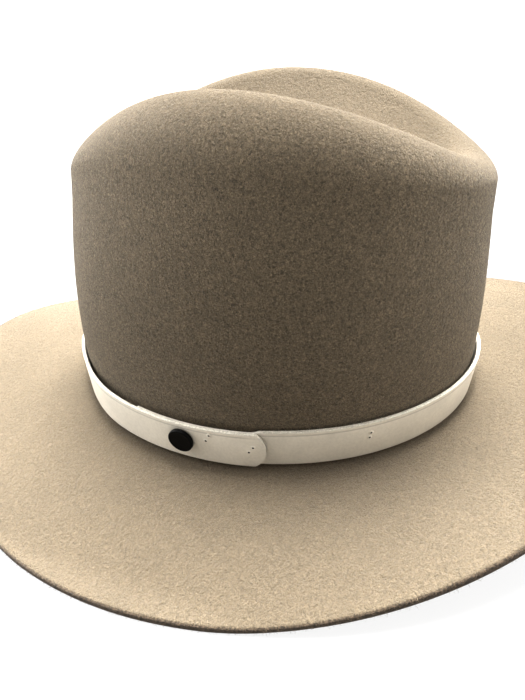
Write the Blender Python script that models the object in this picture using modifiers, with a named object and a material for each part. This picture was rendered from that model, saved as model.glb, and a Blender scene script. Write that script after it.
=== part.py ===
# Wide-brim felt fedora: felt body, leather band strap and snap stud.
# Metres, +Z up, resting on z = 0. Front of the hat towards -Y, wearer's left towards +X.
from math import atan2, cos, hypot, pi, radians, sin

import bmesh
import bpy
from mathutils import Matrix, Vector

MM = 0.001

# Felt
FELT = 2.6 * MM
AROUND = 64

# Foot of the crown, outer face of the felt
HEAD_HALF_LENGTH = 103.0 * MM
HEAD_HALF_WIDTH = 85.2 * MM
FOOT_BACK_RISE = 4.9 * MM
FOOT_SIDE_DROP = 1.6 * MM
FOOT_FOLD_RADIUS = 2.5 * MM

# Crown, heights above the foot
CROWN_HEIGHT = 141.5 * MM
HIGHEST_POINT_Y = -4.5 * MM
CROWN_FRONT_FALL = 33.0 * MM
CROWN_BACK_FALL = 27.0 * MM
SHOULDER_HALF_WIDTH = 66.3 * MM
SHOULDER_FRONT = 100.0 * MM
SHOULDER_BACK = 96.4 * MM
SHOULDER_RADIUS = 12.0 * MM
SHOULDER_SIDE_MORE = 14.0 * MM
SHOULDER_SIDE_POWER = 2
SHOULDER_TAPER_FRONT = 0.17
SIDE_BULGE = 1.9 * MM
BULGE_END = 0.8
FRONT_FULLNESS = 2.5
BACK_FULLNESS = 1.1
SIDE_FULLNESS = 2.1
SIDE_TOP = 0.80

# Dent along the middle of the crown
DENT_DEPTH = 27.0 * MM
DENT_FRONT_FALL = 22.0 * MM
DENT_BACK_FALL = 13.0 * MM
DENT_FRONT = 60.0 * MM
DENT_BACK = 60.0 * MM
DENT_FLOOR_SHARE = 0.10

# Brim
BRIM_WIDTH = 71.5 * MM
BRIM_SIDE_LESS = 2.5 * MM
BRIM_FRONT_MORE = 5.5 * MM
BRIM_FRONT_CORNER = -2.5 * MM
EDGE_HEIGHT = -0.6 * MM
EDGE_BACK_RISE = 22.8 * MM
EDGE_SIDE_DROP = 14.7 * MM
EDGE_FRONT_CURL = 5.0 * MM
EDGE_DIP = 10.0 * MM
EDGE_DIP_TURN = radians(-122)
EDGE_DIP_POWER = 10
BRIM_EARLY_RISE = 0.45

# How the hat lies: the crown leans back and the lowest felt is pressed flat
LEAN = radians(4.5)
PRESSED = 3.4 * MM
PRESS_BLEND = 1.2 * MM
FOOTPRINT_SHIFT = 3.63 * MM

# Band strap, a flat leather strip wound once round the foot of the crown
STRAP_WIDTH = 18.4 * MM
STRAP_THICK = 1.7 * MM
STRAP_FOOT_GAP = 1.8 * MM
STRAP_CROWN_GAP = 0.45 * MM
STRAP_FLARE = 1.1 * MM
LAYER_GAP = 0.32 * MM
TIP_ANGLE = radians(11.3)
HIDDEN_END_ANGLE = radians(-23.0)
LAYER_LIFT_END = radians(-58.0)
TIP_BULGE = 4.0 * MM
TIP_POWER = 2.4
STRAP_STATIONS = 120
TIP_STATIONS = 10
TIP_LENGTH = radians(7.0)
STRAP_ROWS = (0.0, 0.06, 0.2, 0.5, 0.8, 0.94, 1.0)

# Snap stud
STUD_ANGLE = radians(-8.8)
STUD_HEIGHT_SHARE = 0.58
CAP_RADIUS = 5.8 * MM
CAP_THICK = 2.0 * MM
CAP_BEVEL = 0.5 * MM
CAP_DISH = 0.12 * MM
POST_RADIUS = 1.6 * MM
FLANGE_RADIUS = 4.0 * MM
FLANGE_THICK = 0.6 * MM
FIT_GAP = 0.3 * MM
STUD_ROUND = 32


def clean():
    for item in list(bpy.data.objects):
        bpy.data.objects.remove(item, do_unlink=True)


def smooth(value):
    value = min(max(value, 0.0), 1.0)
    return value * value * (3.0 - 2.0 * value)


def plan_normal(angle):
    across = cos(angle) / HEAD_HALF_WIDTH
    along = sin(angle) / HEAD_HALF_LENGTH
    size = hypot(across, along)
    return Vector((across / size, along / size, 0.0))


def foot_height(angle):
    return FOOT_BACK_RISE * sin(angle) - FOOT_SIDE_DROP * cos(2.0 * angle)


def foot_point(angle):
    return Vector((HEAD_HALF_WIDTH * cos(angle), HEAD_HALF_LENGTH * sin(angle), foot_height(angle)))


def crest_height(y):
    away = y - HIGHEST_POINT_Y
    if away < 0.0:
        return CROWN_HEIGHT - CROWN_FRONT_FALL * (away / (SHOULDER_FRONT + HIGHEST_POINT_Y)) ** 2
    return CROWN_HEIGHT - CROWN_BACK_FALL * (away / (SHOULDER_BACK - HIGHEST_POINT_Y)) ** 2


def side_plan(angle, share):
    bulge = SIDE_BULGE * sin(pi * min(share / BULGE_END, 1.0))
    front = HEAD_HALF_LENGTH + bulge + (SHOULDER_FRONT - HEAD_HALF_LENGTH) * share**FRONT_FULLNESS
    back = HEAD_HALF_LENGTH + bulge + (SHOULDER_BACK - HEAD_HALF_LENGTH) * share**BACK_FULLNESS
    half = HEAD_HALF_WIDTH + bulge + (SHOULDER_HALF_WIDTH - HEAD_HALF_WIDTH) * share**SIDE_FULLNESS
    taper = 1.0 + SHOULDER_TAPER_FRONT * share**2 * sin(angle)
    reach = front if sin(angle) < 0.0 else back
    return Vector((half * taper * cos(angle), reach * sin(angle), 0.0))


def side_point(angle, share):
    point = side_plan(angle, share)
    height = foot_height(angle) * (1.0 - share) + share * crest_height(point.y)
    return Vector((point.x, point.y, height))


def shoulder_normal(angle):
    reach = SHOULDER_FRONT if sin(angle) < 0.0 else SHOULDER_BACK
    across = cos(angle) / SHOULDER_HALF_WIDTH
    along = sin(angle) / reach
    size = hypot(across, along)
    return Vector((across / size, along / size, 0.0))


def shoulder_point(angle, turn):
    inward = SHOULDER_RADIUS * (1.0 - cos(turn))
    if cos(turn) > 0.0:
        deep = SHOULDER_RADIUS + SHOULDER_SIDE_MORE * cos(angle) ** SHOULDER_SIDE_POWER
        wall = side_point(angle, 1.0 - deep * (1.0 - sin(turn)) / CROWN_HEIGHT)
        return wall - shoulder_normal(angle) * inward
    crest = side_plan(angle, 1.0)
    point = crest - shoulder_normal(angle) * inward
    height = crest_height(crest.y) - SHOULDER_RADIUS * (1.0 - sin(turn))
    return Vector((point.x, point.y, height))


def dent_floor(angle):
    along = sin(angle)
    y = along * (DENT_FRONT if along < 0.0 else DENT_BACK)
    fall = DENT_FRONT_FALL if along < 0.0 else DENT_BACK_FALL
    return Vector((0.0, y, CROWN_HEIGHT - DENT_DEPTH - fall * along**2))


def dent_point(angle, share):
    rim = shoulder_point(angle, SHOULDER_TURNS[-1])
    floor = dent_floor(angle)
    point = floor.lerp(rim, share)
    drop = sin(0.5 * pi * (1.0 - share))
    point.z = rim.z + (floor.z - rim.z) * drop
    return point


def brim_edge(angle):
    width = BRIM_WIDTH - BRIM_SIDE_LESS * cos(2.0 * angle) - BRIM_FRONT_MORE * sin(angle)
    if sin(angle) < 0.0:
        width += BRIM_FRONT_CORNER * sin(2.0 * angle) ** 2
    point = foot_point(angle) + plan_normal(angle) * width
    turn = atan2(point.y / (HEAD_HALF_LENGTH + width), point.x / (HEAD_HALF_WIDTH + width))
    point.z = EDGE_HEIGHT + EDGE_BACK_RISE * sin(turn) - EDGE_SIDE_DROP * cos(2.0 * turn)
    point.z += EDGE_FRONT_CURL * max(0.0, -sin(turn)) ** 3
    point.z -= EDGE_DIP * max(0.0, cos(turn - EDGE_DIP_TURN)) ** EDGE_DIP_POWER
    return point


def brim_point(angle, share):
    foot = foot_point(angle)
    edge = brim_edge(angle)
    point = foot.lerp(edge, share)
    rise = share * (BRIM_EARLY_RISE + (1.0 - BRIM_EARLY_RISE) * share)
    point.z = foot.z + (edge.z - foot.z) * rise
    return point


def fold_point(angle, turn):
    foot = foot_point(angle)
    away = FOOT_FOLD_RADIUS * (1.0 - sin(turn))
    up = FOOT_FOLD_RADIUS * (1.0 - cos(turn))
    return foot + plan_normal(angle) * away + Vector((0.0, 0.0, up))


BRIM_SHARES = (1.0, 0.95, 0.86, 0.75, 0.63, 0.51, 0.39, 0.27, 0.16, 0.08)
FOLD_TURNS = (radians(4), radians(34), radians(64))
SIDE_SHARES = (0.04, 0.1, 0.2, 0.31, 0.43, 0.55, 0.67, SIDE_TOP)
SHOULDER_TURNS = tuple(radians(turn) for turn in (12, 30, 48, 66, 84, 100, 116, 132))
DENT_SHARES = (0.82, 0.62, 0.42, 0.24, DENT_FLOOR_SHARE)


def outer_rings():
    angles = [2.0 * pi * step / AROUND for step in range(AROUND)]
    rings = []
    rings += [[brim_point(angle, share) for angle in angles] for share in BRIM_SHARES]
    rings += [[fold_point(angle, turn) for angle in angles] for turn in FOLD_TURNS]
    rings += [[side_point(angle, share) for angle in angles] for share in SIDE_SHARES]
    rings += [[shoulder_point(angle, turn) for angle in angles] for turn in SHOULDER_TURNS]
    rings += [[dent_point(angle, share) for angle in angles] for share in DENT_SHARES]
    return rings


def lean_matrix():
    return Matrix.Rotation(-LEAN, 4, "X")


def lift_height():
    lean = lean_matrix()
    lowest = min((lean @ brim_edge(2.0 * pi * step / 360)).z for step in range(360))
    return FELT - PRESSED - lowest


def resting_place():
    return Matrix.Translation(Vector((0.0, FOOTPRINT_SHIFT, lift_height()))) @ lean_matrix()


def pressed(point):
    above = point.z - FELT
    if above > PRESS_BLEND:
        return point
    if above < -PRESS_BLEND:
        return Vector((point.x, point.y, FELT))
    raised = (above + PRESS_BLEND) ** 2 / (4.0 * PRESS_BLEND)
    return Vector((point.x, point.y, FELT + raised))


def material(name, colour, roughness):
    made = bpy.data.materials.new(name)
    made.use_nodes = True
    shader = made.node_tree.nodes["Principled BSDF"]
    shader.inputs["Base Color"].default_value = (*colour, 1.0)
    shader.inputs["Roughness"].default_value = roughness
    return made


def object_from(name, points, faces, home, look):
    mesh = bpy.data.meshes.new(name)
    mesh.from_pydata([tuple(point) for point in points], [], faces)
    mesh.update()
    made = bpy.data.objects.new(name, mesh)
    home.objects.link(made)
    if look:
        mesh.materials.append(look)
    for face in mesh.polygons:
        face.use_smooth = True
    return made


def recalculated(made):
    work = bmesh.new()
    work.from_mesh(made.data)
    bmesh.ops.recalc_face_normals(work, faces=work.faces)
    work.to_mesh(made.data)
    work.free()


def make_felt(home, look):
    rings = outer_rings()
    place = resting_place()
    points = [pressed(place @ point) for ring in rings for point in ring]
    faces = []
    for level in range(len(rings) - 1):
        for step in range(AROUND):
            after = (step + 1) % AROUND
            low = level * AROUND
            high = low + AROUND
            faces.append((low + step, low + after, high + after, high + step))
    last = (len(rings) - 1) * AROUND
    quarter = AROUND // 4
    for step in range(-quarter, quarter):
        right = last + step % AROUND
        right_after = last + (step + 1) % AROUND
        left = last + (AROUND // 2 - step) % AROUND
        left_after = last + (AROUND // 2 - step - 1) % AROUND
        if step == -quarter:
            faces.append((right, right_after, left_after))
        elif step == quarter - 1:
            faces.append((right, right_after, left))
        else:
            faces.append((right, right_after, left_after, left))
    made = object_from("felt_body", points, faces, home, look)
    wall = made.modifiers.new("Wall", "SOLIDIFY")
    wall.thickness = FELT
    wall.offset = -1.0
    wall.use_even_offset = True
    return made


def layer_lift(angle):
    step = STRAP_THICK + LAYER_GAP
    return step * smooth((angle - LAYER_LIFT_END) / (HIDDEN_END_ANGLE - radians(8.0) - LAYER_LIFT_END))


def strap_point(angle, share, beyond=0.0):
    away = STRAP_CROWN_GAP + STRAP_FLARE * share + layer_lift(angle) + beyond
    foot = foot_point(angle)
    height = foot.z + STRAP_FOOT_GAP + STRAP_WIDTH * share
    point = foot + plan_normal(angle) * away
    return Vector((point.x, point.y, height))


def strap_angles():
    near_tip = [TIP_ANGLE - TIP_LENGTH * step / TIP_STATIONS for step in range(TIP_STATIONS)]
    start = TIP_ANGLE - TIP_LENGTH
    sweep = start - (HIDDEN_END_ANGLE - 2.0 * pi)
    rest = [start - sweep * step / STRAP_STATIONS for step in range(STRAP_STATIONS + 1)]
    return near_tip + rest


def tip_pull(angle, share):
    out_of_middle = abs(2.0 * share - 1.0)
    near = smooth((angle - (TIP_ANGLE - TIP_LENGTH)) / TIP_LENGTH)
    return TIP_BULGE * out_of_middle**TIP_POWER * near / HEAD_HALF_WIDTH


def make_strap(home, look):
    place = resting_place()
    points = []
    for angle in strap_angles():
        for share in STRAP_ROWS:
            points.append(place @ strap_point(angle - tip_pull(angle, share), share))
    rows = len(STRAP_ROWS)
    faces = []
    for station in range(len(strap_angles()) - 1):
        for row in range(rows - 1):
            here = station * rows + row
            faces.append((here, here + 1, here + rows + 1, here + rows))
    made = object_from("band_strap", points, faces, home, look)
    wall = made.modifiers.new("Leather", "SOLIDIFY")
    wall.thickness = STRAP_THICK
    wall.offset = 1.0
    wall.use_even_offset = True
    return made


def stud_frame():
    lower = strap_point(STUD_ANGLE, 0.0)
    upper = strap_point(STUD_ANGLE, 1.0)
    side = strap_point(STUD_ANGLE + radians(1.0), STUD_HEIGHT_SHARE)
    middle = strap_point(STUD_ANGLE, STUD_HEIGHT_SHARE)
    up = (upper - lower).normalized()
    out = (side - middle).cross(up).normalized()
    if out.dot(plan_normal(STUD_ANGLE)) < 0.0:
        out = -out
    right = up.cross(out).normalized()
    turn = Matrix((right, up, out)).transposed().to_4x4()
    inner_face = middle - out * layer_lift(STUD_ANGLE)
    return resting_place() @ Matrix.Translation(inner_face) @ turn


def lathed(name, profile, home, look):
    points = []
    faces = []
    for radius, height in profile:
        for step in range(STUD_ROUND):
            angle = 2.0 * pi * step / STUD_ROUND
            points.append(Vector((radius * cos(angle), radius * sin(angle), height)))
    for level in range(len(profile) - 1):
        for step in range(STUD_ROUND):
            after = (step + 1) % STUD_ROUND
            low = level * STUD_ROUND
            high = low + STUD_ROUND
            faces.append((low + step, low + after, high + after, high + step))
    faces.append(tuple(reversed(range(STUD_ROUND))))
    top = (len(profile) - 1) * STUD_ROUND
    faces.append(tuple(range(top, top + STUD_ROUND)))
    made = object_from(name, points, faces, home, look)
    recalculated(made)
    made.matrix_world = stud_frame()
    return made


def make_stud(home, look):
    under_cap = 2.0 * STRAP_THICK + LAYER_GAP + FIT_GAP
    top = under_cap + CAP_THICK
    profile = (
        (FLANGE_RADIUS, FIT_GAP),
        (FLANGE_RADIUS, FIT_GAP + FLANGE_THICK),
        (POST_RADIUS, FIT_GAP + FLANGE_THICK),
        (POST_RADIUS, under_cap),
        (CAP_RADIUS - CAP_BEVEL, under_cap),
        (CAP_RADIUS, under_cap + CAP_BEVEL),
        (CAP_RADIUS, top - CAP_BEVEL),
        (CAP_RADIUS - 0.3 * CAP_BEVEL, top - 0.3 * CAP_BEVEL),
        (CAP_RADIUS - CAP_BEVEL, top),
        (CAP_RADIUS - 2.0 * CAP_BEVEL, top),
        (CAP_RADIUS - 3.0 * CAP_BEVEL, top - CAP_DISH),
    )
    return lathed("snap_stud", profile, home, look)


def cut(body, cutter):
    joint = body.modifiers.new(cutter.name, "BOOLEAN")
    joint.operation = "DIFFERENCE"
    joint.solver = "EXACT"
    joint.object = cutter
    cutter.hide_render = True
    cutter.display_type = "WIRE"


def make_holes(strap, home):
    hole = POST_RADIUS + FIT_GAP
    through = ((hole, -4.0 * MM), (hole, 9.0 * MM))
    cut(strap, lathed("post_hole", through, home, None))
    seat = FLANGE_RADIUS + FIT_GAP
    recess = ((seat, -2.0 * MM), (seat, 2.0 * FIT_GAP + FLANGE_THICK))
    cut(strap, lathed("flange_recess", recess, home, None))


def build():
    clean()
    home = bpy.data.collections.new("Wide-brim fedora")
    cutters = bpy.data.collections.new("Cutters")
    bpy.context.scene.collection.children.link(home)
    bpy.context.scene.collection.children.link(cutters)
    make_felt(home, material("felt", (0.46, 0.37, 0.26), 0.95))
    strap = make_strap(home, material("leather", (0.76, 0.71, 0.62), 0.6))
    make_stud(home, material("stud", (0.012, 0.012, 0.013), 0.35))
    make_holes(strap, cutters)


build()
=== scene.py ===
# Wide-brim felt fedora: dressed pieces, materials, floor, light and camera.
# Metres, +Z up. Front of the hat towards -Y, wearer's left towards +X.
from math import cos, pi, radians, sin

import bpy
import numpy as np
from mathutils import Matrix, Vector, noise


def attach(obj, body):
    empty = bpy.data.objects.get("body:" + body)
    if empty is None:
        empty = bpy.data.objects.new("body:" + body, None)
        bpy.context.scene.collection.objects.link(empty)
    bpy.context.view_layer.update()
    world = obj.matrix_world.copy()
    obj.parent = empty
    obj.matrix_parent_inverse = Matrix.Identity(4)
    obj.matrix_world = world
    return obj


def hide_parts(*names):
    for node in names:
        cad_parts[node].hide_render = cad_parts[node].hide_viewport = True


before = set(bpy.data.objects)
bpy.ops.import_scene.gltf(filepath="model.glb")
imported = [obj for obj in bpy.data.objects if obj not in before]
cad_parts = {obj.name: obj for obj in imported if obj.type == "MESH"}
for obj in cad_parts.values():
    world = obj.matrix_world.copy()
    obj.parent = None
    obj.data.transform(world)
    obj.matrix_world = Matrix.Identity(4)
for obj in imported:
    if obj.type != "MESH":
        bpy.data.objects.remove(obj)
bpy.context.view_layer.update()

MM = 0.001

# Felt body, the same driving sizes as the solids
FELT = 2.6 * MM
HEAD_HALF_LENGTH = 103.0 * MM
HEAD_HALF_WIDTH = 85.2 * MM
FOOT_BACK_RISE = 4.9 * MM
FOOT_SIDE_DROP = 1.6 * MM
FOOT_FOLD_RADIUS = 2.5 * MM
CROWN_HEIGHT = 141.5 * MM
HIGHEST_POINT_Y = -4.5 * MM
CROWN_FRONT_FALL = 33.0 * MM
CROWN_BACK_FALL = 27.0 * MM
SHOULDER_HALF_WIDTH = 66.3 * MM
SHOULDER_FRONT = 100.0 * MM
SHOULDER_BACK = 96.4 * MM
SHOULDER_RADIUS = 12.0 * MM
SHOULDER_SIDE_MORE = 14.0 * MM
SHOULDER_SIDE_POWER = 2
SHOULDER_TAPER_FRONT = 0.17
SIDE_BULGE = 1.9 * MM
BULGE_END = 0.8
FRONT_FULLNESS = 2.5
BACK_FULLNESS = 1.1
SIDE_FULLNESS = 2.1
SIDE_TOP = 0.80
DENT_DEPTH = 27.0 * MM
DENT_FRONT_FALL = 22.0 * MM
DENT_BACK_FALL = 13.0 * MM
DENT_FRONT = 60.0 * MM
DENT_BACK = 60.0 * MM
DENT_FLOOR_SHARE = 0.06
BRIM_WIDTH = 71.5 * MM
BRIM_SIDE_LESS = 2.5 * MM
BRIM_FRONT_MORE = 5.5 * MM
BRIM_FRONT_CORNER = -2.5 * MM
EDGE_HEIGHT = -0.6 * MM
EDGE_BACK_RISE = 22.8 * MM
EDGE_SIDE_DROP = 14.7 * MM
EDGE_FRONT_CURL = 5.0 * MM
EDGE_DIP = 10.0 * MM
EDGE_DIP_TURN = radians(-122)
EDGE_DIP_POWER = 10
BRIM_EARLY_RISE = 0.45
LEAN = radians(4.5)
PRESSED = 3.4 * MM
PRESS_BLEND = 1.2 * MM
FOOTPRINT_SHIFT = 3.63 * MM

# Felt mesh: columns round the head, rings from the brim's edge to the dent's floor
FELT_AROUND = 320
BRIM_RINGS = 44
BRIM_INNER_SHARE = 0.05
FOLD_RINGS = 6
FOLD_START = radians(8)
FOLD_END = radians(70)
SIDE_RINGS = 40
SIDE_START = 0.035
SHOULDER_RINGS = 18
SHOULDER_START = radians(6)
SHOULDER_END = radians(132)
DENT_RINGS = 22
DENT_START_SHARE = 0.94
EDGE_ROWS = 5
EDGE_ROUND = 0.35 * MM
# Share of the cut edge's painted shade given to the rows beside it
EDGE_SHADE_BESIDE = 0.9

# Strap
STRAP_WIDTH = 18.4 * MM
STRAP_THICK = 1.7 * MM
STRAP_FOOT_GAP = 1.8 * MM
STRAP_CROWN_GAP = 0.45 * MM
STRAP_FLARE = 1.1 * MM
LAYER_GAP = 0.32 * MM
TIP_ANGLE = radians(11.3)
HIDDEN_END_ANGLE = radians(-23.0)
LAYER_LIFT_END = radians(-58.0)
TIP_BULGE = 4.0 * MM
TIP_POWER = 2.4
TIP_LENGTH = radians(7.0)
CLOSE_END_ANGLE = radians(-24.0)
STRAP_CLOSE_STATIONS = 150
STRAP_STATIONS = 520
TIP_STATIONS = 60
STRAP_ACROSS = 52
STRAP_DEEP = 6
STRAP_BACK_STEP = 6
STRAP_EDGE_ROUND = 0.35 * MM

# Pressed crease under the strap's upper edge, and the raw edge itself
GROOVE_SHARE = 0.895
GROOVE_HALF = 0.013
GROOVE_DEPTH = 0.16 * MM
GROOVE_LOST_AT_TIP = 0.85
RAW_EDGE_WAVE = 0.16 * MM
RAW_WAVE_OUTWARD = 0.6
RAW_WAVE_START = 0.975
RAW_TINT_START = 0.972
RAW_BLEND = 0.02
# Waves of the raw edge: strength, scale, seed
RAW_WAVES = ((1.0, 220.0, 3.0), (0.6, 620.0, 8.0))
WAVE_ACROSS = 0.2

# Hidden layer, kept below the tongue's upper edge
UNDER_LAYER_DROP = 1.3 * MM
UNDER_LAYER_START = radians(1.0)
UNDER_LAYER_BLEND = radians(3.0)
LAYER_LIFT_LEAD = radians(8.0)

# Snap stud
STUD_ANGLE = radians(-8.8)
STUD_HEIGHT_SHARE = 0.58
CAP_RADIUS = 5.8 * MM
CAP_THICK = 2.0 * MM
POST_RADIUS = 1.6 * MM
FLANGE_RADIUS = 4.0 * MM
FLANGE_THICK = 0.6 * MM
FIT_GAP = 0.3 * MM
CAP_ROUND = 0.55 * MM
STUD_ROUND = 96
# Shallow dish in the cap's face: distance in from its rim and depth
CAP_DISH = ((0.9 * MM, 0.02 * MM), (1.2 * MM, 0.1 * MM), (1.6 * MM, 0.14 * MM), (3.5 * MM, 0.16 * MM))

# Needle holes: angle in degrees, share of the strap's width
NEEDLE_HOLES = (
    (-1.8, 0.84),
    (-2.65, 0.66),
    (8.3, 0.62),
    (7.35, 0.47),
    (-324.5, 0.70),
    (-324.7, 0.56),
)
HOLE_RADIUS = 0.46 * MM
HOLE_RIM = 1.15 * MM
HOLE_HEIGHT = 0.32 * MM
HOLE_ROOT = 0.06 * MM
HOLE_ROUND = 28
# Raised rim: shares of the rim's radius and of its height, then the same of the hole's radius
RIM_OUTER = ((1.0, 0.0), (0.8, 0.35), (0.62, 1.0))
RIM_INNER = ((1.18, 0.9), (1.0, 0.5))
# Pit: a near-black plug in each hole, painted shade of the hole; its heights as shares of the rim's height
PIT_LEVELS = (0.2, 0.52)

# Felt grain contrast, partly painted shade of the nap: share of it on level felt, and how steep felt has
# to be for all of it; the extra contrast on steep felt stands in for the nap's shading under grazing light
NAP_LEVEL = 0.34
NAP_SHADE_STEEP = 0.75

# Loose fibres: how many, shortest and longest, least and most they rise
NAP_FIBRES = 16000
NAP_LENGTHS = (0.8, 2.0)
NAP_LIFTS = (0.05, 0.45)
EDGE_FIBRES = 5200
EDGE_LENGTHS = (0.4, 1.3)
EDGE_LIFTS = (0.25, 0.8)
STRAP_FIBRES = 2200
STRAP_LENGTHS = (0.3, 0.9)
STRAP_LIFTS = (0.15, 0.55)
FIBRE_WIDTH = 0.08 * MM
FIBRE_BEND = 0.55
FIBRE_FLOOR_GAP = 0.05 * MM
# Rows of one fibre: share of its length, share of its width
FIBRE_ROWS = ((0.0, 1.0), (0.35, 1.0), (0.7, 0.8), (1.0, 0.3))

# Camera, from the outlines in the photograph
CAMERA_PLACE = Vector((243.52, 80.72, 170.9)) * MM
CAMERA_AZIMUTH = radians(108.81)
CAMERA_ELEVATION = radians(30.65)
CAMERA_ROLL = radians(-5.40)
LENS_MM = 27.0
SENSOR_MM = 36.0
NEAREST_SEEN = 10.0 * MM
VIEW_GAMMA = 0.8

# Light: bright overhead and behind the hat, dim on the camera's side
WORLD_TOWARDS = (-0.72, -0.40, 0.57)
WORLD_DIM_END = -0.35
WORLD_BRIGHT_END = 0.75
WORLD_DIM = (0.31, 0.26, 0.198)
WORLD_BRIGHT = (1.6, 1.6, 1.6)
# Name, direction the light travels, strength, angle it spreads over in degrees
SOFT_LIGHTS = (
    ("overhead", (0.375, -0.02, -0.93), 16.4, 34.0),
    ("left_side", (0.20, 0.88, -0.32), 6.2, 60.0),
    ("right_side", (0.36, -0.88, -0.26), 4.2, 60.0),
)
FLOOR_COLOUR = (0.06, 0.06, 0.06)
FLOOR_GLOW = 0.90
FLOOR_HALF = 60.0

# Colours, linear
FELT_COLOUR = (0.184, 0.148, 0.100)
# Painted shade: darker colour of the brim's cut edge, standing in for the shade it sits in
FELT_EDGE_SHADE_COLOUR = (0.095, 0.071, 0.048)
FIBRE_COLOUR = (0.23, 0.19, 0.135)
LEATHER_COLOUR = (0.72, 0.685, 0.61)
RAW_LEATHER_COLOUR = (0.62, 0.59, 0.52)
STUD_COLOUR = (0.0004, 0.0004, 0.0005)
# Edge fuzz takes the cut edge's painted shade colour, made lighter by this
FUZZ_LIGHTER = 1.6
# Painted shade in the strap's pressed crease: its colour is darkened by this
CREASE_SHADE_DARKER = 0.62

# Broad mottle of the felt: scale, detail, roughness, twist, spread
FELT_MOTTLE = (34.0, 3.0, 0.5, 0.0, 0.03)
# Grain of the felt's colour, stronger on steep felt as painted shade of the nap: scale, detail, twist,
# spread
FELT_GRAIN = ((190.0, 3.0, 0.4, 0.05), (1100.0, 4.0, 1.2, 0.50), (2300.0, 2.0, 0.8, 0.30))
FELT_GRAIN_ROUGH = 0.65
# Relief of the surfaces: scale, detail, strength, height
FELT_BUMPS = ((520.0, 6.0, 1.0, 1.5 * MM), (1500.0, 4.0, 1.0, 0.9 * MM))
LEATHER_BUMPS = ((160.0, 3.0, 0.25, 0.35 * MM), (1100.0, 4.0, 0.35, 0.1 * MM))
STUD_BUMPS = ((2500.0, 2.0, 0.15, 0.03 * MM),)
# Grey levels of a noise that the grain spreads over
GRAIN_LOW = 0.36
GRAIN_HIGH = 0.64
# Ragged border of the painted shade on the cut edge
EDGE_NOISE_SHARE = 1.1
EDGE_COVER_START = 0.85
EDGE_COVER_FULL = 1.2


def smooth(value):
    value = np.clip(value, 0.0, 1.0)
    return value * value * (3.0 - 2.0 * value)


def plan(across, along):
    return np.stack([across, along, np.zeros_like(across)], -1)


def lifted(point, height):
    point = point.copy()
    point[..., 2] = height
    return point


def plan_normal(angle, half_width=HEAD_HALF_WIDTH, reach=HEAD_HALF_LENGTH):
    across = np.cos(angle) / half_width
    along = np.sin(angle) / reach
    size = np.hypot(across, along)
    return plan(across / size, along / size)


def foot_height(angle):
    return FOOT_BACK_RISE * np.sin(angle) - FOOT_SIDE_DROP * np.cos(2.0 * angle)


def foot_point(angle):
    point = plan(HEAD_HALF_WIDTH * np.cos(angle), HEAD_HALF_LENGTH * np.sin(angle))
    return lifted(point, foot_height(angle))


def crest_height(y):
    away = y - HIGHEST_POINT_Y
    front = CROWN_FRONT_FALL * (away / (SHOULDER_FRONT + HIGHEST_POINT_Y)) ** 2
    back = CROWN_BACK_FALL * (away / (SHOULDER_BACK - HIGHEST_POINT_Y)) ** 2
    return CROWN_HEIGHT - np.where(away < 0.0, front, back)


def side_plan(angle, share):
    bulge = SIDE_BULGE * np.sin(pi * np.minimum(share / BULGE_END, 1.0))
    front = HEAD_HALF_LENGTH + bulge + (SHOULDER_FRONT - HEAD_HALF_LENGTH) * share**FRONT_FULLNESS
    back = HEAD_HALF_LENGTH + bulge + (SHOULDER_BACK - HEAD_HALF_LENGTH) * share**BACK_FULLNESS
    half = HEAD_HALF_WIDTH + bulge + (SHOULDER_HALF_WIDTH - HEAD_HALF_WIDTH) * share**SIDE_FULLNESS
    taper = 1.0 + SHOULDER_TAPER_FRONT * share**2 * np.sin(angle)
    reach = np.where(np.sin(angle) < 0.0, front, back)
    return plan(half * taper * np.cos(angle), reach * np.sin(angle))


def side_point(angle, share):
    point = side_plan(angle, share)
    return lifted(point, foot_height(angle) * (1.0 - share) + share * crest_height(point[..., 1]))


def shoulder_point(angle, turn):
    reach = np.where(np.sin(angle) < 0.0, SHOULDER_FRONT, SHOULDER_BACK)
    inward = plan_normal(angle, SHOULDER_HALF_WIDTH, reach) * SHOULDER_RADIUS * (1.0 - cos(turn))
    if cos(turn) > 0.0:
        deep = SHOULDER_RADIUS + SHOULDER_SIDE_MORE * np.cos(angle) ** SHOULDER_SIDE_POWER
        return side_point(angle, 1.0 - deep * (1.0 - sin(turn)) / CROWN_HEIGHT) - inward
    crest = side_plan(angle, 1.0)
    return lifted(crest - inward, crest_height(crest[..., 1]) - SHOULDER_RADIUS * (1.0 - sin(turn)))


def dent_floor(angle):
    along = np.sin(angle)
    y = along * np.where(along < 0.0, DENT_FRONT, DENT_BACK)
    fall = np.where(along < 0.0, DENT_FRONT_FALL, DENT_BACK_FALL)
    return lifted(plan(0.0 * y, y), CROWN_HEIGHT - DENT_DEPTH - fall * along**2)


def dent_point(angle, share):
    rim = shoulder_point(angle, SHOULDER_END)
    floor = dent_floor(angle)
    point = floor + (rim - floor) * share
    drop = sin(0.5 * pi * (1.0 - share))
    return lifted(point, rim[..., 2] + (floor[..., 2] - rim[..., 2]) * drop)


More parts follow.
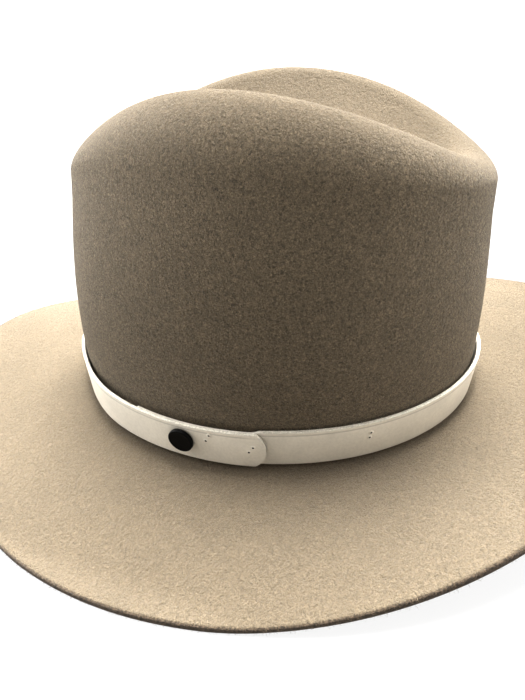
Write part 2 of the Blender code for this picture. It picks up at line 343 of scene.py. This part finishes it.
def brim_edge(angle):
    width = BRIM_WIDTH - BRIM_SIDE_LESS * np.cos(2.0 * angle) - BRIM_FRONT_MORE * np.sin(angle)
    width = width + np.where(np.sin(angle) < 0.0, BRIM_FRONT_CORNER * np.sin(2.0 * angle) ** 2, 0.0)
    point = foot_point(angle) + plan_normal(angle) * width[..., None]
    along = point[..., 1] / (HEAD_HALF_LENGTH + width)
    across = point[..., 0] / (HEAD_HALF_WIDTH + width)
    turn = np.arctan2(along, across)
    height = EDGE_HEIGHT + EDGE_BACK_RISE * np.sin(turn) - EDGE_SIDE_DROP * np.cos(2.0 * turn)
    height = height + EDGE_FRONT_CURL * np.maximum(0.0, -np.sin(turn)) ** 3
    dip = EDGE_DIP * np.maximum(0.0, np.cos(turn - EDGE_DIP_TURN)) ** EDGE_DIP_POWER
    return lifted(point, height - dip)


def brim_point(angle, share):
    foot = foot_point(angle)
    edge = brim_edge(angle)
    point = foot + (edge - foot) * share
    rise = share * (BRIM_EARLY_RISE + (1.0 - BRIM_EARLY_RISE) * share)
    return lifted(point, foot[..., 2] + (edge[..., 2] - foot[..., 2]) * rise)


def fold_point(angle, turn):
    away = FOOT_FOLD_RADIUS * (1.0 - sin(turn))
    point = foot_point(angle) + plan_normal(angle) * away
    return lifted(point, point[..., 2] + FOOT_FOLD_RADIUS * (1.0 - cos(turn)))


def lean_matrix():
    return np.array(Matrix.Rotation(-LEAN, 3, "X"))


def resting(point):
    every = brim_edge(np.linspace(0.0, 2.0 * pi, 361))
    lowest = (every @ lean_matrix().T)[..., 2].min()
    return point @ lean_matrix().T + np.array([0.0, FOOTPRINT_SHIFT, FELT - PRESSED - lowest])


def pressed(point):
    above = point[..., 2] - FELT
    blend = (above + PRESS_BLEND) ** 2 / (4.0 * PRESS_BLEND)
    flat = np.where(above < -PRESS_BLEND, 0.0, np.where(above > PRESS_BLEND, above, blend))
    return lifted(point, FELT + flat)


def felt_outer_grid():
    angle = np.linspace(0.0, 2.0 * pi, FELT_AROUND, endpoint=False)
    rings = [brim_point(angle, share) for share in np.linspace(1.0, BRIM_INNER_SHARE, BRIM_RINGS)]
    rings += [fold_point(angle, turn) for turn in np.linspace(FOLD_START, FOLD_END, FOLD_RINGS)]
    rings += [side_point(angle, share) for share in np.linspace(SIDE_START, SIDE_TOP, SIDE_RINGS)]
    turns = np.linspace(SHOULDER_START, SHOULDER_END, SHOULDER_RINGS)
    rings += [shoulder_point(angle, turn) for turn in turns]
    shares = np.linspace(DENT_START_SHARE, DENT_FLOOR_SHARE, DENT_RINGS)
    rings += [dent_point(angle, share) for share in shares]
    return pressed(resting(np.array(rings)))


def grid_normals(grid):
    along = np.gradient(grid, axis=0)
    around = np.roll(grid, -1, 1) - np.roll(grid, 1, 1)
    normal = np.cross(around, along)
    return normal / np.linalg.norm(normal, axis=-1, keepdims=True)


def mesh_object(name, points, faces, looks):
    mesh = bpy.data.meshes.new(name)
    mesh.from_pydata([tuple(point) for point in points], [], faces)
    mesh.update()
    for look in looks:
        mesh.materials.append(look)
    mesh.polygons.foreach_set("use_smooth", [True] * len(mesh.polygons))
    made = bpy.data.objects.new(name, mesh)
    bpy.context.scene.collection.objects.link(made)
    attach(made, "root")
    return made


def add_values(made, name, values):
    layer = made.data.attributes.new(name, "FLOAT", "POINT").data
    layer.foreach_set("value", values.astype(np.float32).ravel())


def make_felt(looks):
    outer = felt_outer_grid()
    inner = outer - grid_normals(outer) * FELT
    rim = []
    for row in range(1, EDGE_ROWS + 1):
        share = row / (EDGE_ROWS + 1)
        line = outer[0] * (1.0 - share) + inner[0] * share
        out = grid_normals(outer)[0]
        away = outer[0] - outer[1]
        away = away - out * (away * out).sum(-1, keepdims=True)
        away = away / np.linalg.norm(away, axis=-1, keepdims=True)
        rim.append(line + away * EDGE_ROUND * sin(pi * share))
    rows = np.concatenate([inner[::-1], np.array(rim)[::-1], outer])
    rows[..., 2] = np.maximum(rows[..., 2], 0.0)
    count = len(rows)
    points = rows.reshape(-1, 3)
    faces = []
    for level in range(count - 1):
        for step in range(FELT_AROUND):
            after = (step + 1) % FELT_AROUND
            low = level * FELT_AROUND
            high = low + FELT_AROUND
            faces.append((low + step, low + after, high + after, high + step))
    faces += cross_strip((count - 1) * FELT_AROUND, False)
    faces += cross_strip(0, True)
    made = mesh_object("felt_shell", points, faces, looks)
    # Painted shade mask: full on the cut edge's rows, less on the rows beside them
    edge = np.zeros(len(points), np.float32)
    first = len(inner) * FELT_AROUND
    after = first + EDGE_ROWS * FELT_AROUND
    edge[first:after] = 1.0
    edge[first - FELT_AROUND:first] = EDGE_SHADE_BESIDE
    edge[after:after + FELT_AROUND] = EDGE_SHADE_BESIDE
    # Painted shade: colour grain grows on steep felt in place of the nap's shading under grazing light
    steep = 1.0 - np.abs(grid_normals(rows)[..., 2].ravel())
    grain_and_shade = NAP_LEVEL + (1.0 - NAP_LEVEL) * smooth(steep / NAP_SHADE_STEEP)
    add_values(made, "cut_edge_shade", edge)
    add_values(made, "grain_and_nap_shade", grain_and_shade)
    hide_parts("felt_body")
    return made


def cross_strip(start, flipped):
    faces = []
    quarter = FELT_AROUND // 4
    for step in range(-quarter, quarter):
        right = start + step % FELT_AROUND
        right_after = start + (step + 1) % FELT_AROUND
        left = start + (FELT_AROUND // 2 - step) % FELT_AROUND
        left_after = start + (FELT_AROUND // 2 - step - 1) % FELT_AROUND
        if step == -quarter:
            face = (right, right_after, left_after)
        elif step == quarter - 1:
            face = (right, right_after, left)
        else:
            face = (right, right_after, left_after, left)
        faces.append(face[::-1] if flipped else face)
    return faces


def layer_lift(angle):
    stretch = HIDDEN_END_ANGLE - LAYER_LIFT_LEAD - LAYER_LIFT_END
    return (STRAP_THICK + LAYER_GAP) * smooth((angle - LAYER_LIFT_END) / stretch)


def strap_point(angle, share, depth=0.0):
    away = STRAP_CROWN_GAP + STRAP_FLARE * share + layer_lift(angle) + depth
    point = foot_point(angle) + plan_normal(angle) * np.asarray(away)[..., None]
    return lifted(point, foot_height(angle) + STRAP_FOOT_GAP + STRAP_WIDTH * share)


def strap_section():
    """Closed outline across the strap: pairs of width share and depth, outer face first."""
    rounded = STRAP_EDGE_ROUND / STRAP_WIDTH
    flat = np.linspace(rounded, 1.0 - rounded, STRAP_ACROSS)
    corner = [radians(turn) for turn in (30.0, 60.0)]
    inset = [STRAP_THICK - STRAP_EDGE_ROUND * (1.0 - cos(turn)) for turn in corner]
    sides = np.linspace(STRAP_THICK - STRAP_EDGE_ROUND, STRAP_EDGE_ROUND, STRAP_DEEP)
    outline = [(share, STRAP_THICK) for share in flat]
    rise = [rounded * (1.0 - sin(turn)) for turn in corner]
    outline += [(1.0 - share, depth) for share, depth in zip(rise, inset)]
    outline += [(1.0, depth) for depth in sides]
    outline += [(share, 0.0) for share in flat[::-STRAP_BACK_STEP]]
    outline += [(0.0, depth) for depth in sides[::-1]]
    outline += [(share, depth) for share, depth in zip(rise[::-1], inset[::-1])]
    return outline


def strap_stations():
    """Angles along the strap, close together on the tongue that faces the camera."""
    start = TIP_ANGLE - TIP_LENGTH
    tip = np.linspace(TIP_ANGLE, start, TIP_STATIONS, endpoint=False)
    close = np.linspace(start, CLOSE_END_ANGLE, STRAP_CLOSE_STATIONS, endpoint=False)
    far = np.linspace(CLOSE_END_ANGLE, HIDDEN_END_ANGLE - 2.0 * pi, STRAP_STATIONS)
    return np.concatenate([tip, close, far])


def noise_field(angles, shares, scale, seed):
    """Smooth seeded noise along and across the strap, about -1 to 1."""
    pairs = zip(angles.flat, shares.flat)
    field = [noise.noise(Vector((a * scale, b * scale * WAVE_ACROSS, seed))) for a, b in pairs]
    return np.array(field).reshape(angles.shape)


def make_strap(looks):
    section = strap_section()
    shares = np.array([share for share, depth in section])
    depths = np.array([depth for share, depth in section])
    stations = strap_stations()
    near = smooth((stations - TIP_ANGLE + TIP_LENGTH) / TIP_LENGTH)
    pull = TIP_BULGE * np.abs(2.0 * shares - 1.0)[None] ** TIP_POWER * near[:, None]
    angles = stations[:, None] - pull / HEAD_HALF_WIDTH
    under = smooth((TIP_ANGLE - UNDER_LAYER_START - 2.0 * pi - angles) / UNDER_LAYER_BLEND)
    share = shares[None] * (1.0 - UNDER_LAYER_DROP / STRAP_WIDTH * under)
    depth = depths[None] + 0.0 * angles
    outside = depths > 0.5 * STRAP_THICK
    groove = np.exp(-((share - GROOVE_SHARE) / GROOVE_HALF) ** 2)
    groove = groove * (1.0 - GROOVE_LOST_AT_TIP * near[:, None]) * outside[None]
    depth = depth - GROOVE_DEPTH * groove
    wave = sum(strength * noise_field(angles, share, scale, seed) for strength, scale, seed in RAW_WAVES)
    wave = RAW_EDGE_WAVE * wave * smooth((share - RAW_WAVE_START) / RAW_BLEND)
    points = strap_point(angles, share, depth + RAW_WAVE_OUTWARD * wave * outside[None])
    points[..., 2] += wave
    points = resting(points)
    around = len(section)
    faces = []
    for station in range(len(stations) - 1):
        for step in range(around):
            after = (step + 1) % around
            low = station * around
            high = low + around
            faces.append((low + step, high + step, high + after, low + after))
    faces.append(tuple(range(around)))
    last = (len(stations) - 1) * around
    faces.append(tuple(range(last + around - 1, last - 1, -1)))
    made = mesh_object("band_strap_leather", points.reshape(-1, 3), faces, looks)
    add_values(made, "raw_edge", smooth((share - RAW_TINT_START) / RAW_BLEND))
    # Mask of the painted shade along the pressed crease
    add_values(made, "crease_shade", groove)
    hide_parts("band_strap")
    return made


def strap_frame(angle, share, depth):
    """Axes on the strap: x along it, y up its width, z out of it."""
    def place(turn, height):
        return Vector(resting(strap_point(np.array([angle + turn]), height, depth))[0])

    here = place(0.0, share)
    beside = place(radians(1.0), share)
    up = (place(0.0, 1.0) - place(0.0, 0.0)).normalized()
    out = (beside - here).cross(up).normalized()
    right = up.cross(out).normalized()
    return Matrix.Translation(here) @ Matrix((right, up, out)).transposed().to_4x4()


def lathe(profile, steps, place):
    """Points and faces of a turned shape; the profile ends are closed with flat caps."""
    points = []
    faces = []
    for radius, height in profile:
        for step in range(steps):
            angle = 2.0 * pi * step / steps
            points.append(place @ Vector((radius * cos(angle), radius * sin(angle), height)))
    for level in range(len(profile) - 1):
        for step in range(steps):
            after = (step + 1) % steps
            low = level * steps
            high = low + steps
            faces.append((low + step, low + after, high + after, high + step))
    faces.append(tuple(reversed(range(steps))))
    last = (len(profile) - 1) * steps
    faces.append(tuple(range(last, last + steps)))
    return points, faces


def make_needle_holes(rim_look, pit_shade_look):
    rim = [(HOLE_RIM, -HOLE_ROOT)]
    rim += [(wide * HOLE_RIM, high * HOLE_HEIGHT) for wide, high in RIM_OUTER]
    rim += [(wide * HOLE_RADIUS, high * HOLE_HEIGHT) for wide, high in RIM_INNER]
    # The pit is painted shade: a short near-black plug standing in for the hole's depth
    pit = [(HOLE_RADIUS, high * HOLE_HEIGHT) for high in PIT_LEVELS]
    for number, (around, share) in enumerate(NEEDLE_HOLES):
        place = strap_frame(radians(around), share, STRAP_THICK)
        for name, profile, look in (("rim", rim, rim_look), ("pit", pit, pit_shade_look)):
            points, faces = lathe(profile, HOLE_ROUND, place)
            mesh_object(f"needle_{name}_{number}", points, faces, [look])


def fibre_ribbons(name, roots, outs, alongs, lengths, lifts, look):
    """Short curled hairs, each a strip of three quads rising from its root."""
    rng = np.random.default_rng(len(roots))
    side = np.cross(outs, alongs)
    bend = rng.normal(0.0, FIBRE_BEND, len(roots))[:, None]
    rows = []
    for step, thin in FIBRE_ROWS:
        reach = alongs * (lengths * step)[:, None] + side * bend * (lengths * step**2)[:, None]
        height = outs * (lifts * sin(0.5 * pi * step))[:, None]
        middle = roots + reach + height
        half = side * FIBRE_WIDTH * thin * 0.5
        rows += [middle - half, middle + half]
    points = np.stack(rows, 1).reshape(-1, 3)
    points[:, 2] = np.maximum(points[:, 2], FIBRE_FLOOR_GAP)
    faces = []
    for hair in range(len(roots)):
        first = hair * 8
        faces += [(first + k, first + k + 1, first + k + 3, first + k + 2) for k in (0, 2, 4)]
    return mesh_object(name, points, faces, [look])


def unit(vectors):
    return vectors / np.linalg.norm(vectors, axis=-1, keepdims=True)


def make_nap(look):
    rng = np.random.default_rng(11)
    grid = felt_outer_grid()
    normal = grid_normals(grid)
    sweep = np.cross(np.roll(grid, -1, 1) - grid, np.gradient(grid, axis=0))
    area = np.linalg.norm(sweep, axis=-1)
    pick = rng.choice(area.size, NAP_FIBRES, p=area.ravel() / area.sum())
    row, column = np.divmod(pick, FELT_AROUND)
    row = np.minimum(row, len(grid) - 2)
    a, b = rng.random((2, NAP_FIBRES, 1))
    after = (column + 1) % FELT_AROUND
    roots = grid[row, column] * (1 - a) * (1 - b) + grid[row, after] * a * (1 - b)
    roots = roots + grid[row + 1, column] * (1 - a) * b + grid[row + 1, after] * a * b
    outs = unit(normal[row, column])
    tangent = unit(np.cross(outs, rng.normal(size=(NAP_FIBRES, 3))))
    lengths = rng.uniform(*NAP_LENGTHS, NAP_FIBRES) * MM
    lifts = rng.uniform(*NAP_LIFTS, NAP_FIBRES) * MM
    return fibre_ribbons("felt_nap_fibres", roots, outs, tangent, lengths, lifts, look)


def make_edge_fuzz(look):
    rng = np.random.default_rng(12)
    grid = felt_outer_grid()
    normal = grid_normals(grid)[0]
    away = unit(grid[0] - grid[1])
    column = rng.integers(0, FELT_AROUND, EDGE_FIBRES)
    after = (column + 1) % FELT_AROUND
    share = rng.random((EDGE_FIBRES, 1))
    down = rng.random((EDGE_FIBRES, 1)) * FELT
    roots = grid[0][column] * (1 - share) + grid[0][after] * share - normal[column] * down
    sideways = unit(np.cross(normal[column], away[column]))
    outs = unit(away[column] + 0.4 * rng.normal(size=(EDGE_FIBRES, 3)))
    sideways = sideways * rng.choice([-1.0, 1.0], (EDGE_FIBRES, 1))
    alongs = unit(sideways + 0.5 * rng.normal(size=(EDGE_FIBRES, 3)))
    lengths = rng.uniform(*EDGE_LENGTHS, EDGE_FIBRES) * MM
    lifts = rng.uniform(*EDGE_LIFTS, EDGE_FIBRES) * MM
    return fibre_ribbons("felt_edge_fibres", roots, outs, alongs, lengths, lifts, look)


def make_strap_fuzz(look):
    rng = np.random.default_rng(13)
    angle = rng.uniform(TIP_ANGLE - 2.0 * pi, TIP_ANGLE - radians(3.0), STRAP_FIBRES)
    depth = rng.uniform(0.1, 1.0, STRAP_FIBRES) * STRAP_THICK
    roots = resting(strap_point(angle, 1.0 + 0.0 * angle, depth))
    beyond = resting(strap_point(angle, 1.05 + 0.0 * angle, depth))
    outward = resting(strap_point(angle, 1.0 + 0.0 * angle, depth + MM))
    outs = unit(beyond - roots) + 0.5 * unit(outward - roots)
    outs = unit(outs + 0.5 * rng.normal(size=(STRAP_FIBRES, 3)))
    alongs = unit(np.cross(outs, rng.normal(size=(STRAP_FIBRES, 3))))
    lengths = rng.uniform(*STRAP_LENGTHS, STRAP_FIBRES) * MM
    lifts = rng.uniform(*STRAP_LIFTS, STRAP_FIBRES) * MM
    return fibre_ribbons("strap_edge_fibres", roots, outs, alongs, lengths, lifts, look)


def make_stud(looks):
    under_cap = 2.0 * STRAP_THICK + LAYER_GAP + FIT_GAP
    top = under_cap + CAP_THICK
    profile = [(FLANGE_RADIUS, FIT_GAP), (FLANGE_RADIUS, FIT_GAP + FLANGE_THICK)]
    profile += [(POST_RADIUS, FIT_GAP + FLANGE_THICK), (POST_RADIUS, under_cap)]
    for turn in range(-90, 91, 15):
        centre = under_cap + CAP_ROUND if turn < 0 else top - CAP_ROUND
        inward = CAP_ROUND * (1.0 - cos(radians(turn)))
        profile.append((CAP_RADIUS - inward, centre + CAP_ROUND * sin(radians(turn))))
    profile += [(CAP_RADIUS - inward, top - down) for inward, down in CAP_DISH]
    place = strap_frame(STUD_ANGLE, STUD_HEIGHT_SHARE, -layer_lift(STUD_ANGLE))
    points, faces = lathe(profile, STUD_ROUND, place)
    made = mesh_object("snap_stud_cap", points, faces, looks)
    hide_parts("snap_stud")
    return made


def node(tree, kind, **values):
    made = tree.nodes.new(kind)
    for name, value in values.items():
        if name in made.inputs:
            made.inputs[name].default_value = value
        else:
            setattr(made, name, value)
    return made


def ramp(tree, source, low, high, dark, light):
    made = tree.nodes.new("ShaderNodeValToRGB")
    made.color_ramp.elements[0].position = low
    made.color_ramp.elements[1].position = high
    made.color_ramp.elements[0].color = (*dark, 1.0)
    made.color_ramp.elements[1].color = (*light, 1.0)
    tree.links.new(source, made.inputs["Fac"])
    return made.outputs["Color"]


def mix(tree, kind, factor, first, second):
    made = tree.nodes.new("ShaderNodeMix")
    made.data_type = "RGBA"
    made.blend_type = kind
    for socket, value in (("Factor", factor), ("A", first), ("B", second)):
        target = next(s for s in made.inputs if s.name == socket and s.enabled)
        if isinstance(value, (float, int)):
            target.default_value = value
        elif isinstance(value, tuple):
            target.default_value = (*value, 1.0)
        else:
            tree.links.new(value, target)
    return next(s for s in made.outputs if s.enabled)


def noise_at(tree, coordinates, scale, detail=3.0, roughness=0.55, distortion=0.0):
    made = node(tree, "ShaderNodeTexNoise", Scale=scale, Detail=detail, Roughness=roughness)
    made.inputs["Distortion"].default_value = distortion
    tree.links.new(coordinates, made.inputs["Vector"])
    return made.outputs["Fac"]


def new_material(name, colour, roughness):
    made = bpy.data.materials.new(name)
    made.use_nodes = True
    shader = made.node_tree.nodes["Principled BSDF"]
    shader.inputs["Base Color"].default_value = (*colour, 1.0)
    shader.inputs["Roughness"].default_value = roughness
    place = made.node_tree.nodes.new("ShaderNodeTexCoord")
    return made, made.node_tree, shader, place.outputs["Object"]


def shade(colour, by):
    return tuple(channel * by for channel in colour)


def grain(tree, place, scale, detail, roughness, twist, spread):
    """Grey multiplier around one, from noise; spread is how far it goes each way."""
    dark = (1.0 - spread,) * 3
    light = (1.0 + spread,) * 3
    source = noise_at(tree, place, scale, detail, roughness, twist)
    return ramp(tree, source, GRAIN_LOW, GRAIN_HIGH, dark, light)


def bumps(tree, place, shader, layers):
    """Chain of bump nodes; each layer is scale, detail, strength, height."""
    before = None
    for scale, detail, strength, height in layers:
        made = node(tree, "ShaderNodeBump", Strength=strength, Distance=height)
        tree.links.new(noise_at(tree, place, scale, detail, 0.65, 0.6), made.inputs["Height"])
        if before:
            tree.links.new(before, made.inputs["Normal"])
        before = made.outputs["Normal"]
    tree.links.new(before, shader.inputs["Normal"])


def felt_material():
    made, tree, shader, place = new_material("felt_nap", FELT_COLOUR, 0.95)
    shader.inputs["Sheen Weight"].default_value = 0.18
    shader.inputs["Sheen Roughness"].default_value = 0.55
    shader.inputs["Specular IOR Level"].default_value = 0.1
    colour = mix(tree, "MULTIPLY", 1.0, FELT_COLOUR, grain(tree, place, *FELT_MOTTLE))
    # Grain contrast: real grain on level felt, more on steep felt as painted shade of the nap
    grain_and_shade_share = node(tree, "ShaderNodeAttribute", attribute_name="grain_and_nap_shade").outputs["Fac"]
    for scale, detail, twist, spread in FELT_GRAIN:
        layer = grain(tree, place, scale, detail, FELT_GRAIN_ROUGH, twist, spread)
        colour = mix(tree, "MULTIPLY", grain_and_shade_share, colour, layer)
    # Painted shade: the cut edge and a ragged strip beside it take the darker edge colour
    edge = node(tree, "ShaderNodeAttribute", attribute_name="cut_edge_shade").outputs["Fac"]
    dark = mix(tree, "MULTIPLY", 1.0, FELT_EDGE_SHADE_COLOUR, grain(tree, place, 1100.0, 4.0, 0.7, 0.5, 0.6))
    fuzzy = node(tree, "ShaderNodeMath", operation="MULTIPLY_ADD")
    tree.links.new(noise_at(tree, place, 1400.0, 3.0, 0.6), fuzzy.inputs[0])
    fuzzy.inputs[1].default_value = EDGE_NOISE_SHARE
    tree.links.new(edge, fuzzy.inputs[2])
    cover = node(tree, "ShaderNodeMapRange", interpolation_type="SMOOTHSTEP")
    cover.inputs["From Min"].default_value = EDGE_COVER_START
    cover.inputs["From Max"].default_value = EDGE_COVER_FULL
    tree.links.new(fuzzy.outputs["Value"], cover.inputs["Value"])
    tree.links.new(mix(tree, "MIX", cover.outputs["Result"], colour, dark), shader.inputs["Base Color"])
    bumps(tree, place, shader, FELT_BUMPS)
    return made


def fibre_material(name, colour, roughness):
    made, tree, shader, place = new_material(name, colour, roughness)
    shader.inputs["Specular IOR Level"].default_value = 0.1
    tint = mix(tree, "MULTIPLY", 1.0, colour, grain(tree, place, 300.0, 2.0, 0.5, 0.0, 0.35))
    tree.links.new(tint, shader.inputs["Base Color"])
    return made


def leather_material():
    made, tree, shader, place = new_material("strap_leather", LEATHER_COLOUR, 0.55)
    shader.inputs["Specular IOR Level"].default_value = 0.35
    colour = mix(tree, "MULTIPLY", 1.0, LEATHER_COLOUR, grain(tree, place, 55.0, 4.0, 0.6, 0.0, 0.045))
    colour = mix(tree, "MULTIPLY", 1.0, colour, grain(tree, place, 800.0, 4.0, 0.6, 0.0, 0.035))
    # Painted shade: the pressed crease is darkened in colour, on top of its real groove
    crease_shade = node(tree, "ShaderNodeAttribute", attribute_name="crease_shade").outputs["Fac"]
    colour = mix(tree, "MIX", crease_shade, colour, shade(LEATHER_COLOUR, CREASE_SHADE_DARKER))
    raw = node(tree, "ShaderNodeAttribute", attribute_name="raw_edge").outputs["Fac"]
    flesh = mix(tree, "MULTIPLY", 1.0, RAW_LEATHER_COLOUR, grain(tree, place, 1300.0, 4.0, 0.7, 0.4, 0.22))
    tree.links.new(mix(tree, "MIX", raw, colour, flesh), shader.inputs["Base Color"])
    bumps(tree, place, shader, LEATHER_BUMPS)
    return made


def stud_material(name, roughness):
    made, tree, shader, place = new_material(name, STUD_COLOUR, roughness)
    shader.inputs["Specular IOR Level"].default_value = 0.12
    tint = mix(tree, "MULTIPLY", 1.0, STUD_COLOUR, grain(tree, place, 700.0, 3.0, 0.6, 0.0, 0.4))
    tree.links.new(tint, shader.inputs["Base Color"])
    bumps(tree, place, shader, STUD_BUMPS)
    return made


def make_floor():
    made, tree, shader, place = new_material("floor_paper", FLOOR_COLOUR, 0.9)
    shader.inputs["Emission Color"].default_value = (1.0, 1.0, 1.0, 1.0)
    shader.inputs["Emission Strength"].default_value = FLOOR_GLOW
    corners = [(x * FLOOR_HALF, y * FLOOR_HALF, 0) for x, y in ((-1, -1), (1, -1), (1, 1), (-1, 1))]
    mesh = bpy.data.meshes.new("floor")
    mesh.from_pydata(corners, [], [(0, 1, 2, 3)])
    mesh.materials.append(made)
    floor = bpy.data.objects.new("floor", mesh)
    bpy.context.scene.collection.objects.link(floor)


def make_world():
    world = bpy.data.worlds.new("studio")
    bpy.context.scene.world = world
    world.use_nodes = True
    tree = world.node_tree
    place = tree.nodes.new("ShaderNodeTexCoord").outputs["Generated"]
    total = node(tree, "ShaderNodeVectorMath", operation="DOT_PRODUCT")
    tree.links.new(place, total.inputs[0])
    total.inputs[1].default_value = Vector(WORLD_TOWARDS).normalized()
    share = node(tree, "ShaderNodeMapRange", interpolation_type="SMOOTHSTEP")
    share.inputs["From Min"].default_value = WORLD_DIM_END
    share.inputs["From Max"].default_value = WORLD_BRIGHT_END
    tree.links.new(total.outputs["Value"], share.inputs["Value"])
    colour = mix(tree, "MIX", share.outputs["Result"], WORLD_DIM, WORLD_BRIGHT)
    tree.links.new(colour, tree.nodes["Background"].inputs["Color"])


def make_soft_lights():
    for name, towards, strength, angle in SOFT_LIGHTS:
        data = bpy.data.lights.new(name, "SUN")
        data.energy = strength
        data.angle = radians(angle)
        made = bpy.data.objects.new(name, data)
        made.rotation_euler = Vector(towards).to_track_quat("-Z", "Y").to_euler()
        bpy.context.scene.collection.objects.link(made)


def make_camera():
    data = bpy.data.cameras.new("camera")
    data.lens = LENS_MM
    data.sensor_width = SENSOR_MM
    data.clip_start = NEAREST_SEEN
    made = bpy.data.objects.new("camera", data)
    a, e = CAMERA_AZIMUTH, CAMERA_ELEVATION
    back = Vector((sin(a) * cos(e), -cos(a) * cos(e), sin(e)))
    level = Vector((cos(a), sin(a), 0.0))
    upright = back.cross(level)
    right = level * cos(CAMERA_ROLL) + upright * sin(CAMERA_ROLL)
    up = upright * cos(CAMERA_ROLL) - level * sin(CAMERA_ROLL)
    turn = Matrix((right, up, back)).transposed().to_4x4()
    made.matrix_world = Matrix.Translation(CAMERA_PLACE) @ turn
    bpy.context.scene.collection.objects.link(made)
    bpy.context.scene.camera = made


leather = leather_material()
make_felt([felt_material()])
make_nap(fibre_material("felt_loose_fibres", FIBRE_COLOUR, 0.9))
# The edge fibres take the cut edge's painted shade colour, made lighter
make_edge_fuzz(fibre_material("felt_edge_fuzz", shade(FELT_EDGE_SHADE_COLOUR, FUZZ_LIGHTER), 0.9))
make_strap([leather])
make_strap_fuzz(fibre_material("strap_edge_fuzz", RAW_LEATHER_COLOUR, 0.8))
# The holes' pits are painted shade in the snap's near-black
make_needle_holes(leather, stud_material("needle_pit_shade", 0.9))
make_stud([stud_material("stud_lacquer", 0.42)])
make_floor()
make_world()
make_soft_lights()
make_camera()
bpy.context.scene.view_settings.view_transform = "Standard"
bpy.context.scene.view_settings.gamma = VIEW_GAMMA
